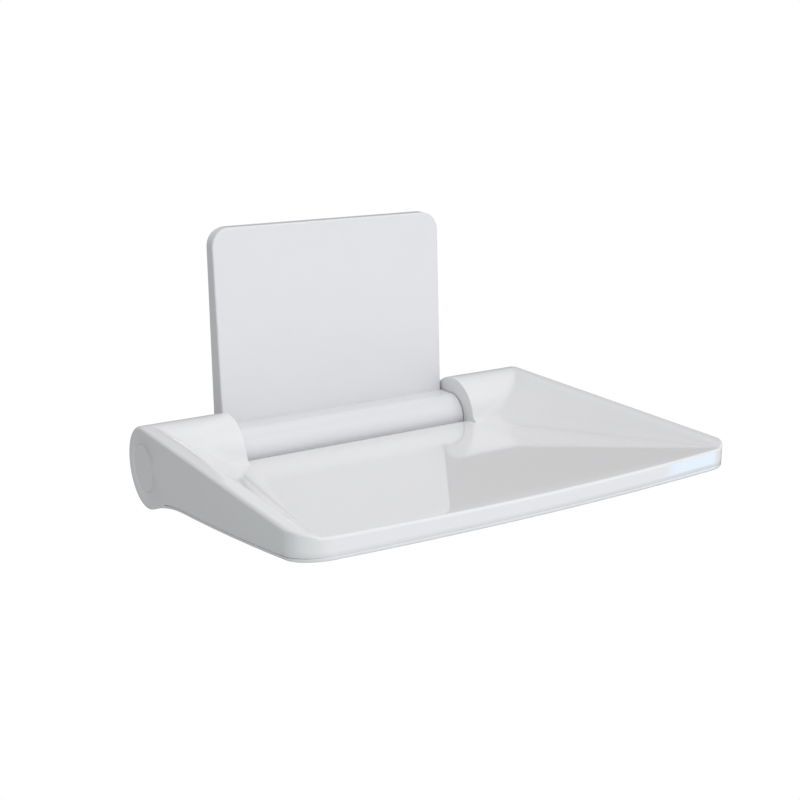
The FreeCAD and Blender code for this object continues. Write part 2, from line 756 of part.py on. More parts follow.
for place, reach in BARS:
    low = bar_top(reach) - d.bar_height
    lengths = (2 * hub_start, d.bar_depth, d.bar_height)
    bar = block(f"{place}_bar", lengths, (-hub_start, -reach - d.bar_depth / 2, low))
    bar_holes = []
    for name, side in SIDES:
        centre = (side * d.bar_screw_spread, -reach, low - d.bar_height)
        hole = cylinder(f"{place}_bar_hole_{name}", d.screw_hole_radius, 3 * d.bar_height, centre, "Z")
        bar_holes.append(hole)
    finish(cut(f"{place}_bar", bar, bar_holes), f"{place}_cross_bar")

screws = []
for name, x, y in FRAME_SCREWS:
    seat = bar_top(-y) - d.bar_height
    tip = bar_top(-y) + d.touch_gap + d.screw_grip
    screws.append(headed_screw(f"frame_screw_{name}", x, y, seat, tip))
finish(group("frame_screw_set", screws), "frame_screws")

ring_length = d.cap_spigot_length
ring_hole_radius = d.cap_spigot_radius - d.cap_spigot_wall
for name, side in SIDES:
    near = span(side, half_width - d.cap_thickness, d.cap_thickness)
    plate = cylinder(f"cap_plate_{name}", d.cap_radius, d.cap_thickness, near)
    near = span(side, half_width - d.cap_thickness - ring_length, ring_length)
    ring = cylinder(f"cap_ring_{name}", d.cap_spigot_radius, ring_length, near)
    ring_hole = cylinder(f"cap_ring_hole_{name}", ring_hole_radius, ring_length, near)
    cap = fuse(f"cap_solid_{name}", [plate, ring])
    finish(cut(f"cap_{name}", cap, [ring_hole]), f"end_cap_{name}")


# Fixed axle with its stop collars and friction stacks

axle_half_length = half_width - d.axle_to_side
tube_pins = []
pin_holes = []
tube_pin_hole_radius = d.tube_pin_radius + d.running_gap / 2
for name, side in SIDES:
    low = (side * d.tube_pin_place, NONE, -d.tube_radius)
    tube_pins.append(cylinder(f"tube_pin_{name}", d.tube_pin_radius, 2 * d.tube_radius, low, "Z"))
    hole = cylinder(f"tube_pin_hole_{name}", tube_pin_hole_radius, 2 * d.tube_radius, low, "Z")
    pin_holes.append(hole)
grub_length = d.collar_radius - d.axle_radius / 2
grub_holes = []
grubs = []
for name, side in SIDES:
    low = (side * (collar_start + d.collar_width / 2), NONE, -d.collar_radius)
    grubs.append(cylinder(f"grub_{name}", d.tube_pin_radius, grub_length, low, "Z"))
    hole = cylinder(f"grub_hole_{name}", tube_pin_hole_radius, grub_length + d.touch_gap, low, "Z")
    grub_holes.append(hole)
rod = cylinder("rod", d.axle_radius, 2 * axle_half_length, -axle_half_length)
finish(cut("axle", rod, pin_holes + grub_holes), "hinge_axle")
finish(group("tube_pin_pair", tube_pins), "axle_pins")
finish(group("grub_pair", grubs), "collar_screws")

gap_half = d.fold_angle / 2 + d.stop_pin_turn + d.stop_play
gap_middle = d.stop_pin_angle - d.fold_angle / 2
gap_reach = 2 * d.collar_radius
for grub_hole, (name, side) in zip(grub_holes, SIDES):
    near = span(side, collar_start, d.collar_width)
    disc = cylinder(f"collar_disc_{name}", d.collar_radius, d.collar_width, near)
    gap = new_body(f"collar_gap_{name}")
    low = gap_middle - gap_half
    high = gap_middle + gap_half
    start = (NONE, NONE)
    steps = [
        ((gap_reach * cosine(low), gap_reach * sine(low)),),
        ((gap_reach * cosine(high), gap_reach * sine(high)),),
        (start,),
    ]
    outline = closed_sketch(gap, "gap_outline", "YZ_Plane", start, steps, offset=near)
    pad(gap, "gap", outline, d.collar_width)
    ring = cylinder(f"collar_ring_{name}", d.collar_root_radius, d.collar_width, near)
    collar_bore = cylinder(f"collar_bore_{name}", axle_hole_radius, d.collar_width, near)
    collar = fuse(f"collar_solid_{name}", [cut(f"collar_open_{name}", disc, [gap]), ring])
    finish(cut(f"collar_{name}", collar, [collar_bore, grub_hole]), f"stop_collar_{name}")


def cone_washer(name, side, near, opens_outwards):
    """A disc spring as a turned profile about the axle."""
    inner = axle_hole_radius
    rise_in, rise_out = (d.spring_cone, NONE) if opens_outwards else (NONE, d.spring_cone)
    body = new_body(name)
    corners = [
        (near + rise_in, inner),
        (near + rise_out, d.disc_radius),
        (near + rise_out + d.spring_thickness, d.disc_radius),
        (near + rise_in + d.spring_thickness, inner),
    ]
    corners = [(side * x, r) for x, r in corners]
    steps = [(corner,) for corner in corners[1:] + corners[:1]]
    sketch = closed_sketch(body, "section", "XZ_Plane", corners[0], steps)
    turn = body.newObject("PartDesign::Revolution", "turned")
    turn.Profile = sketch
    turn.ReferenceAxis = (sketch, ["H_Axis"])
    turn.Angle = FULL_TURN
    return body


stack_start = hub_start + hub_length + d.bush_flange + d.touch_gap
spring_start = stack_start + d.disc_thickness
spring_height = d.spring_thickness + d.spring_cone
nut_start = spring_start + 2 * spring_height
for name, side in SIDES:
    near = span(side, stack_start, d.disc_thickness)
    disc = cylinder(f"friction_body_{name}", d.disc_radius, d.disc_thickness, near)
    bore = cylinder(f"friction_bore_{name}", axle_hole_radius, d.disc_thickness, near)
    finish(cut(f"friction_{name}", disc, [bore]), f"friction_disc_{name}")
    springs = [
        cone_washer(f"spring_inner_{name}", side, spring_start, True),
        cone_washer(f"spring_outer_{name}", side, spring_start + spring_height, False),
    ]
    finish(group(f"springs_{name}", springs), f"disc_springs_{name}")
    nut_body = doc.addObject("Part::Prism", f"nut_body_{name}")
    nut_body.Polygon = 6
    bind(nut_body, "Circumradius", d.nut_radius)
    bind(nut_body, "Height", d.nut_height)
    lying = FreeCAD.Rotation(FreeCAD.Vector(0, 1, 0), 90)
    nut_body.Placement = FreeCAD.Placement(FreeCAD.Vector(), lying)
    near = span(side, nut_start, d.nut_height)
    bind(nut_body, "Placement.Base.x", near)
    nut_bore = cylinder(f"nut_bore_{name}", axle_hole_radius, d.nut_height, near)
    finish(cut(f"nut_{name}", nut_body, [nut_bore]), f"axle_nut_{name}")


# Wall side: steel plate with two ears and the hinge tube

plate_front = d.axis_to_wall - d.plate_thickness
cover_half = knuckle_inner - d.cover_side_gap
plate_half = cover_half - d.plate_inset
ear_place = plate_half - d.ear_inset
barrel_half = knuckle_inner - d.barrel_end_gap
tube_half = barrel_half - d.cover_wall - d.tube_end_gap


def rounded_plate(body, name, half, low, high, corner, near, length):
    """A plate with rounded corners that runs from y = near towards the wall."""
    start, steps = box_steps((-half, low), (half, high))
    sketch = closed_sketch(body, f"{name}_outline", "XZ_Plane", start, steps, offset=-(near + length))
    feature = pad(body, name, sketch, length)

    def is_corner(edge):
        return edge.BoundBox.XLength < 0.01 and edge.BoundBox.ZLength < 0.01

    return round_edges(body, f"{name}_corners", feature, corner, is_corner)


plate = new_body("plate")
low = -d.plate_low
rounded_plate(plate, "sheet", plate_half, low, d.plate_high, d.plate_corner, plate_front, d.plate_thickness)
parts = [plate]
ear_holes = []
ear_hole_radius = d.tube_radius + d.running_gap / 2
ear_screw_hole_radius = d.barrel_screw_radius + d.running_gap / 2
ear_screw_hole_depth = d.barrel_screw_grip + d.touch_gap
for name, side in SIDES:
    near = side * ear_place - d.ear_thickness / 2
    lengths = (d.ear_thickness, plate_front, 2 * d.ear_radius)
    parts.append(block(f"ear_{name}", lengths, (near, NONE, -d.ear_radius)))
    parts.append(cylinder(f"ear_round_{name}", d.ear_radius, d.ear_thickness, near))
    ear_holes.append(cylinder(f"ear_hole_{name}", ear_hole_radius, d.ear_thickness, near))
    low = (side * ear_place, d.barrel_screw_behind, -d.ear_radius)
    hole = cylinder(f"ear_screw_hole_{name}", ear_screw_hole_radius, ear_screw_hole_depth, low, "Z")
    ear_holes.append(hole)
for x_name, x_side in SIDES:
    for z_name, z_side in (("low", -1), ("high", 1)):
        x = x_side * d.bolt_spread_x / 2
        z = d.bolt_rise + z_side * d.bolt_spread_z / 2
        name = f"bolt_hole_{x_name}_{z_name}"
        ear_holes.append(cylinder(name, d.bolt_hole_radius, d.plate_thickness, (x, plate_front, z), "Y"))
finish(cut("bracket", fuse("bracket_solid", parts), ear_holes), "wall_bracket")

tube_body = cylinder("tube_body", d.tube_radius, 2 * tube_half, -tube_half)
tube_bore = cylinder("tube_bore", axle_hole_radius, 2 * tube_half, -tube_half)
finish(cut("tube", tube_body, [tube_bore] + pin_holes), "hinge_tube")


# Wall cover, with its pegs, the sockets on the plate and the seal


def cover_block(body, inset, near, far):
    """The wall cover's form moved in by inset, between two distances from the axis."""
    bottom = inset - d.cover_bottom
    top = d.cover_top - inset
    corner = d.cover_corner - inset
    rounded_plate(body, "block", cover_half - inset, bottom, top, corner, near, far - near)
    low = -2 * d.cover_bottom
    high = 2 * d.cover_top
    drop = sheet_line(d.cover_lean, inset)

    def face(z):
        return d.cover_front + d.cover_lean * z + drop

    start = (near - d.cover_bottom, low)
    steps = [((face(low), low),), ((face(high), high),), ((near - d.cover_bottom, high),), (start,)]
    return cut_through(body, "lean", closed_sketch(body, "lean_outline", "YZ_Plane", start, steps))


cover_far = d.axis_to_wall - d.seal_thickness
cover_outer = new_body("cover_outer")
last = cover_block(cover_outer, NONE, NONE, cover_far)


def is_face_rim(edge):
    """Edges round the wall cover's leaning front."""
    box = edge.BoundBox
    middle = edge.valueAt((edge.FirstParameter + edge.LastParameter) / 2)
    face_y = (d.cover_front + d.cover_lean * middle.z).value
    return abs(middle.y - face_y) < d.touch_gap.value and box.YMax < plate_front.value


round_edges(cover_outer, "face_rounding", last, d.cover_face_radius, is_face_rim)
cover_hollow = new_body("cover_hollow")
cover_block(cover_hollow, d.cover_wall, NONE, d.axis_to_wall)
window_half_x = ear_place + d.ear_thickness / 2 + d.free_gap
window_half_z = d.ear_radius + d.free_gap / 2
lengths = (2 * window_half_x, d.axis_to_wall, 2 * window_half_z)
window = block("ear_window", lengths, (-window_half_x, NONE, -window_half_z))
pegs = []
clips = []
clip_y = plate_front - d.clip_length
for x_name, x_side in SIDES:
    for z_name, z in (("low", d.clip_low), ("high", d.clip_high)):
        name = f"{x_name}_{z_name}"
        x = x_side * (plate_half - d.clip_inset)
        root_y = d.cover_front + d.cover_lean * z + d.cover_wall - d.boss_root
        tip_y = plate_front - d.free_gap
        pegs.append(cylinder(f"peg_{name}", d.peg_radius, tip_y - root_y, (x, root_y, z), "Y"))
        socket = cylinder(f"socket_{name}", d.clip_radius, d.clip_length, (x, clip_y, z), "Y")
        bore_radius = d.peg_radius + d.running_gap
        socket_bore = cylinder(f"socket_bore_{name}", bore_radius, d.clip_length, (x, clip_y, z), "Y")
        clips.append(cut(f"clip_{name}", socket, [socket_bore]))
cover = cut("cover", cover_outer, [cover_hollow, window])
finish(fuse("cover_with_pegs", [cover] + pegs), "wall_cover")
finish(group("clip_set", clips), "cover_clips")


def seal_plate(name, inset):
    """A sheet of the seal's thickness with the wall cover's outline moved in by inset."""
    body = new_body(name)
    half = cover_half - inset
    low = inset - d.cover_bottom
    high = d.cover_top - inset
    rounded_plate(body, name, half, low, high, d.cover_corner - inset, cover_far, d.seal_thickness)
    return body


seal = seal_plate("seal_sheet", d.touch_gap)
finish(cut("seal_ring", seal, [seal_plate("seal_opening", d.cover_wall)]), "wall_seal")


# Barrel cover: a round-fronted housing over the hinge tube


def barrel_block(body, inset, half_length):
    """The barrel cover's form moved in by inset."""
    radius = d.barrel_radius - inset
    depth = 2 * d.cover_front
    ring = circle_sketch(body, "front_circle", "YZ_Plane", radius)
    pad(body, "round_front", ring, 2 * half_length, symmetric=True)
    start, steps = box_steps((NONE, -radius), (depth, radius))
    flats = closed_sketch(body, "flats_outline", "YZ_Plane", start, steps)
    pad(body, "flats", flats, 2 * half_length, symmetric=True)
    low = -2 * d.barrel_radius
    high = 2 * d.barrel_radius

    def face(z):
        return d.cover_front + d.cover_lean * z - d.running_gap

    start = (face(low), low)
    steps = [((3 * depth, low),), ((3 * depth, high),), ((face(high), high),), (start,)]
    return cut_through(body, "back", closed_sketch(body, "back_outline", "YZ_Plane", start, steps))


barrel_outer = new_body("barrel_outer")
barrel_block(barrel_outer, NONE, barrel_half)
barrel_hollow = new_body("barrel_hollow")
barrel_block(barrel_hollow, d.cover_wall, barrel_half - d.cover_wall)
axle_way = 2 * (barrel_half + d.free_gap)
axle_hole = cylinder("barrel_axle_hole", d.axle_radius + d.free_gap / 2, axle_way, -axle_way / 2)
barrel_holes = [axle_hole]
barrel_screws = []
shank_length = d.barrel_radius - d.ear_radius + d.barrel_screw_grip
for name, side in SIDES:
    x = side * ear_place
    y = d.barrel_screw_behind
    low = (x, y, -d.barrel_radius)
    hole = cylinder(f"barrel_screw_hole_{name}", d.screw_hole_radius, d.cover_wall, low, "Z")
    barrel_holes.append(hole)
    head_low = (x, y, -d.barrel_radius - d.screw_head_height)
    head = cylinder(f"barrel_screw_head_{name}", d.screw_head_radius, d.screw_head_height, head_low, "Z")
    shank = cylinder(f"barrel_screw_shank_{name}", d.barrel_screw_radius, shank_length, low, "Z")
    barrel_screws.append(fuse(f"barrel_screw_{name}", [head, shank]))
finish(cut("barrel", barrel_outer, [barrel_hollow] + barrel_holes), "barrel_cover")
finish(group("barrel_screw_pair", barrel_screws), "barrel_screws")


# Check and write

doc.recompute()
for thing in doc.Objects:
    if "Invalid" in thing.State or "Error" in thing.State:
        raise ValueError(f"{thing.Name} failed to build")
for piece in PIECES:
    if piece.Shape.isNull() or not piece.Shape.isValid():
        raise ValueError(f"{piece.Label} has no valid shape")
os.makedirs("parts", exist_ok=True)
for piece in PIECES:
    piece.Shape.exportStep(f"parts/{piece.Label}.step")
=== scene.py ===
import json
import math
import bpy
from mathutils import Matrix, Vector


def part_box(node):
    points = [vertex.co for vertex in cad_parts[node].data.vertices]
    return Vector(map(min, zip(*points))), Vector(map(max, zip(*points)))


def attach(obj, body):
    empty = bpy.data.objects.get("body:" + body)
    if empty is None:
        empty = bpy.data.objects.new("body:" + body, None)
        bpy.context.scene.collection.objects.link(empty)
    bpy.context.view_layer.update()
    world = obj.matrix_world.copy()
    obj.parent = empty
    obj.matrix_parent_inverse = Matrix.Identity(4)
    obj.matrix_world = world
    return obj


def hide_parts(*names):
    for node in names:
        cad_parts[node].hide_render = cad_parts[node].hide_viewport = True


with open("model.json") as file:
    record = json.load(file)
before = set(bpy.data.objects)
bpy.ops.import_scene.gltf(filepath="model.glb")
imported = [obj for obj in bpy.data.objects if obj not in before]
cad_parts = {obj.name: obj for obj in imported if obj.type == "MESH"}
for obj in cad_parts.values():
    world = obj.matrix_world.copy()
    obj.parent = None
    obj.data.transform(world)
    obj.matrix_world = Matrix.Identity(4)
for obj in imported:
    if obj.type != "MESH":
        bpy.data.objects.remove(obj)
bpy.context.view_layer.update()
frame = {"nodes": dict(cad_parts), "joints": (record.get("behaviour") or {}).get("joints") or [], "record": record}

from types import SimpleNamespace
from typing import NamedTuple

import bmesh
import bpy
from mathutils import Matrix, Vector

bl_info = {
    "name": "Fold Down Wall Seat",
    "version": (1, 0, 0),
    "blender": (4, 5, 0),
    "location": "3D View > Sidebar > Wall Seat",
    "description": "Moulded pieces and finishes of a fold down wall seat",
    "category": "Object",
}

MM = 0.001
HINGE = Vector(frame["joints"][0]["pos_m"])
SEAT_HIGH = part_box("seat_shell")[1]
CAP_LOW, CAP_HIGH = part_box("end_cap_left")
CAP_RADIUS = (CAP_HIGH.z - CAP_LOW.z) / 2
CAP_GAP = 0.3 * MM
SEAT_BODY = "seat"
WALL_BODY = "wall_unit"
WHITE = (1.0, 1.0, 1.0)


# Kinds of setting


def length(name, description, millimetres):
    """A length, written in millimetres and kept in metres."""
    return bpy.props.FloatProperty(
        name=name,
        description=description,
        default=millimetres * MM,
        min=0.0,
        precision=4,
        subtype="DISTANCE",
        unit="LENGTH",
    )


def angle(name, description, degrees):
    """An angle, written in degrees and kept in radians."""
    return bpy.props.FloatProperty(
        name=name, description=description, default=math.radians(degrees), subtype="ANGLE", unit="ROTATION"
    )


def ratio(name, description, default):
    """A slope, a share or a plain strength, which has no unit."""
    return bpy.props.FloatProperty(
        name=name, description=description, default=default, min=0.0, precision=4
    )


def watts(name, description, default):
    """The power of a panel lamp."""
    return bpy.props.FloatProperty(
        name=name, description=description, default=default, min=0.0, unit="POWER"
    )


def position(name, description, default):
    """A place in metres."""
    return bpy.props.FloatVectorProperty(
        name=name, description=description, default=default, size=3, subtype="TRANSLATION", unit="LENGTH"
    )


def colour(name, description, default):
    """A colour in linear red, green and blue."""
    return bpy.props.FloatVectorProperty(
        name=name, description=description, default=default, size=3, min=0.0, max=1.0, subtype="COLOR"
    )


def in_millimetres(group):
    """The values of a settings group with its lengths in millimetres and the rest as they are."""
    values = {}
    for item in group.bl_rna.properties:
        if item.type == "FLOAT":
            value = getattr(group, item.identifier)
            values[item.identifier] = value / MM if item.unit == "LENGTH" else value
    return SimpleNamespace(**values)


class SeatSizes(bpy.types.PropertyGroup):
    """Sizes of the moulded seat about the hinge axis."""

    half_width: length("Half width", "Middle to the outside of a rim", SEAT_HIGH.x / MM)
    reach: length("Reach", "Hinge axis to the middle of the front edge", 343.8)
    bow: length("Bow", "How far the front edge bows out", 15.6)
    corner: length("Corner", "Radius of the front corners seen from above", 32.0)
    knuckle: length("Knuckle", "Radius of the rear round ends", (SEAT_HIGH.z - HINGE.z) / MM)
    knuckle_inner: length("Knuckle inner face", "Middle to the inner face of a knuckle", 133.7)
    rim_width: length("Rim", "Width of the strip on top of each side", 13.0)
    rim_front: length("Rim front", "Top of the rim over the hinge axis at the front edge", 36.5)
    floor_slope: ratio("Floor slope", "Rise of the dish floor towards the front", 0.1203)
    flank_slope: ratio("Flank slope", "Rise of the dish flanks towards the rims", 0.6128)
    notch: length("Notch", "Hinge axis to the rear edge of the floor", 29.6)
    notch_round: length("Notch rounding", "Rounding of the floor's rear edge", 0.8)
    leave_angle: angle("Leave angle", "From straight down to where the underside leaves the knuckle", 22.5)
    mid_reach: length("Hollow end", "Hinge axis forward to the end of the underside's hollow", 91.0)
    mid_drop: length("Hollow depth", "Hinge axis down to the underside at the hollow's end", 17.8)
    front_rise: length("Front rise", "Hinge axis up to the underside's far end, past the front", 22.6)
    far_margin: length("Far margin", "Front edge to the far end that the front rise is given for", 30.0)
    bulge: length("Bulge", "How far the underside bulges down", 2.6)
    lip: length("Side lip", "Parting line over the underside at the sides", 4.0)
    front_lip: length("Front lip", "The same along the front, where the line closes up", 3.55)
    lip_start: ratio("Lip start", "Share of a front corner at which the lip starts to open", 0.267)
    lip_end: ratio("Lip end", "Share of a front corner at which the lip is fully open", 0.933)
    cover_back: length("Cover back", "Hinge axis to the rear of the underside cover", 48.0)
    side_round: length("Side rounding", "Rounding of the outer side edges", 3.2)
    end_round: length("End rounding", "Rounding of the knuckles' inner ends", 1.0)
    crease_round: length("Front crease", "Rounding of the front top edge", 2.4)
    valley: length("Valley", "Hollow rounding between knuckle and dish floor", 9.0)
    side_valley: length("Side valley", "Hollow rounding between knuckle and flank", 15.0)
    valley_span: ratio("Valley span", "Share of the way to the rim on which the valley widens", 0.4)
    flank_blend: length("Flank blend", "Half width of the hollow between floor and flank", 12.0)
    flank_blend_front: ratio("Flank blend at front", "Share of it that is left at the front edge", 0.12)
    flank_blend_full: ratio("Flank blend full", "Share of the reach at which it is whole", 0.4)
    rim_blend: length("Rim blend", "Half width of the rounding on the rims' inner edges", 4.0)
    wall: length("Wall", "Thickness of the shell", 2.2)
    cap_hole: length("Cap hole", "Radius of the hole for an end cap", (CAP_RADIUS + CAP_GAP) / MM)
    axle_hole: length("Axle hole", "Radius of the hole round the axle", 10.0)


class SeatFinish(bpy.types.PropertyGroup):
    """Colours of the seat's finishes."""

    seat_white: colour("Seat white", "Glossy white of the moulded seat", (0.812, 0.811, 0.821))
    cover_white: colour("Cover white", "Slightly cooler white of the fixed covers", (0.777, 0.777, 0.794))
    steel: colour("Steel", "Satin steel of the frame", (0.55, 0.55, 0.56))
    nylon: colour("Nylon", "Natural nylon of bushes and clips", (0.72, 0.70, 0.65))
    rubber: colour("Rubber", "Seal behind the wall cover", (0.05, 0.05, 0.05))


class StageSettings(bpy.types.PropertyGroup):
    """Camera, floor and light."""

    camera_place: position("Camera place", "Camera from the hinge axis", (-0.6123, -1.0964, 0.3779))
    camera_yaw: angle("Camera yaw", "Turn of the camera to the right", 31.74)
    camera_pitch: angle("Camera pitch", "Tilt of the camera down", 15.30)
    camera_roll: angle("Camera roll", "Turn of the camera about its own axis", -0.27)
    camera_lens: bpy.props.FloatProperty(
        name="Camera lens", description="Focal length on a 36 mm sensor", default=55.88, unit="CAMERA"
    )
    floor_drop: length("Floor drop", "Hinge axis down to the floor, lower than any view", 1500.0)
    floor_width: length("Floor width", "Side of the square floor", 60000.0)
    fill: ratio("Fill", "Even light from all round", 0.29)
    around: ratio("Surroundings in gloss", "Brightness of the surroundings that the gloss mirrors", 0.28)
    front: ratio("Front light", "Broad light from the front", 0.765)
    front_tint: colour("Front tint", "Slightly bluish colour of the front light", (0.93, 0.965, 1.0))
    right: ratio("Right light", "Broad light from the front right", 0.66)
    top: ratio("Top light", "Soft light from above", 0.93)
    sky: ratio("Sky light", "Broad light from the front and above", 0.92)
    low: ratio("Low light", "Soft light from below", 0.35)
    left: watts("Left panel", "Panel that lights the left side", 0.3)
    left_tint: colour("Left tint", "Colour of the left panel", (0.75, 1.0, 1.0))
    left_place: position("Left place", "Middle of the left panel", (-0.78, -0.50, -0.28))
    left_aim: position("Left aim", "Point that the left panel faces", (-0.20, -0.30, -0.12))
    left_size: length("Left size", "Side of the left panel", 400.0)
    cool: watts("Cool panel", "Bluish panel that the front edge mirrors at its right end", 1.85)
    cool_tint: colour("Cool tint", "Colour of the cool panel", (0.05, 0.50, 1.0))
    cool_place: position("Cool place", "Middle of the cool panel", (1.79, -1.30, -0.70))
    cool_aim: position("Cool aim", "Point that the cool panel faces", (0.18, -0.37, -0.10))
    cool_size: length("Cool size", "Side of the cool panel", 450.0)


# Materials


PLASTIC_IOR = 1.5
MOTTLE = 0.01
MOTTLES_PER_METRE = 14.0
PEEL_PER_METRE = 260.0
PEEL_DEPTH = 0.2 * MM
BRUSHING = (12.0, 400.0, 400.0)
BRUSH_SCALE = 4.0
BRUSH_STRENGTH = 0.15
BRUSH_DEPTH = 0.1 * MM


def new_material(name):
    """A material with its node tree, its shader and its object coordinates."""
    material = bpy.data.materials.new(name)
    material.use_nodes = True
    tree = material.node_tree
    place = tree.nodes.new("ShaderNodeTexCoord")
    return material, tree, tree.nodes["Principled BSDF"], place.outputs["Object"]


def noise(tree, place, scale, detail):
    """A noise pattern over a place."""
    node = tree.nodes.new("ShaderNodeTexNoise")
    node.inputs["Scale"].default_value = scale
    node.inputs["Detail"].default_value = detail
    tree.links.new(place, node.inputs["Vector"])
    return node.outputs["Fac"]


def uneven_gloss(tree, shader, pattern, roughness, swing):
    """Roughness that a pattern moves up and down by a share of itself."""
    node = tree.nodes.new("ShaderNodeMapRange")
    node.inputs["To Min"].default_value = roughness * (1 - swing)
    node.inputs["To Max"].default_value = roughness * (1 + swing)
    tree.links.new(pattern, node.inputs["Value"])
    tree.links.new(node.outputs["Result"], shader.inputs["Roughness"])


def fine_relief(tree, shader, pattern, strength, depth):
    """A fine bump that follows a pattern."""
    node = tree.nodes.new("ShaderNodeBump")
    node.inputs["Strength"].default_value = strength
    node.inputs["Distance"].default_value = depth
    tree.links.new(pattern, node.inputs["Height"])
    tree.links.new(node.outputs["Normal"], shader.inputs["Normal"])


def plastic(name, tint, roughness=0.05, orange_peel=0.02):
    """Moulded plastic: a slight mottle, uneven gloss and a faint orange peel."""
    material, tree, shader, place = new_material(name)
    shader.inputs["IOR"].default_value = PLASTIC_IOR
    mottle = noise(tree, place, MOTTLES_PER_METRE, detail=3.0)
    shade = tree.nodes.new("ShaderNodeMix")
    shade.data_type = "RGBA"
    shade.inputs["A"].default_value = (*[c * (1 - MOTTLE) for c in tint], 1)
    shade.inputs["B"].default_value = (*[min(1, c * (1 + MOTTLE)) for c in tint], 1)
    tree.links.new(mottle, shade.inputs["Factor"])
    tree.links.new(shade.outputs["Result"], shader.inputs["Base Color"])
    uneven_gloss(tree, shader, mottle, roughness, swing=0.3)
    peel = noise(tree, place, PEEL_PER_METRE, detail=1.0)
    fine_relief(tree, shader, peel, orange_peel, PEEL_DEPTH)
    return material


def metal(name, tint, roughness=0.35):
    """Satin steel with a fine brushed grain along the hinge axis."""
    material, tree, shader, place = new_material(name)
    shader.inputs["Metallic"].default_value = 1.0
    shader.inputs["Base Color"].default_value = (*tint, 1)
    stretch = tree.nodes.new("ShaderNodeMapping")
    stretch.inputs["Scale"].default_value = BRUSHING
    tree.links.new(place, stretch.inputs["Vector"])
    grain = noise(tree, stretch.outputs["Vector"], BRUSH_SCALE, detail=4.0)
    uneven_gloss(tree, shader, grain, roughness, swing=0.25)
    fine_relief(tree, shader, grain, BRUSH_STRENGTH, BRUSH_DEPTH)
    return material


# Mesh tools


SHARP_ANGLE = math.radians(32.0)
JOIN_WITHIN = 0.001 * MM
FULL_WEIGHT = 100


def smooth_faces(bm):
    """Smooth shading, with the edges over the sharp angle kept sharp."""
    for face in bm.faces:
        face.smooth = True
    for edge in bm.edges:
        edge.smooth = not (len(edge.link_faces) == 2 and edge.calc_face_angle(0.0) > SHARP_ANGLE)


def even_shading(piece):
    """Shading that follows the larger faces, so that small roundings don't pull it."""
    modifier = piece.modifiers.new("even shading", "WEIGHTED_NORMAL")
    modifier.keep_sharp = True
    modifier.weight = FULL_WEIGHT


def add_piece(name, bm, material, body):
    """A piece from a bmesh in metres, with its material, riding on a body."""
    mesh = bpy.data.meshes.new(name)
    bm.to_mesh(mesh)
    bm.free()
    mesh.materials.append(material)
    piece = bpy.data.objects.new(name, mesh)
    bpy.context.scene.collection.objects.link(piece)
    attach(piece, body)
    return piece


def dressed_node(node, material, body):
    """A smooth-shaded piece in the form of a CAD node, which it stands for."""
    bm = bmesh.new()
    bm.from_mesh(frame["nodes"][node].data)
    bmesh.ops.remove_doubles(bm, verts=bm.verts, dist=JOIN_WITHIN)
    smooth_faces(bm)
    piece = add_piece(f"{node}_moulding", bm, material, body)
    even_shading(piece)
    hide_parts(node)


# Form of the seat shell, in millimetres about the hinge axis


SLOPE_STEP = 0.5
HALVINGS = 40


def share(value, start, stop):
    """How far a value is on the way from start to stop, from 0 to 1."""
    return min(max((value - start) / (stop - start), 0.0), 1.0)


def smooth_max(a, b, blend):
    """The larger of two heights, with a soft hollow where they meet."""
    near = max(blend - abs(a - b), 0.0)
    return max(a, b) + near * near / (4 * blend)


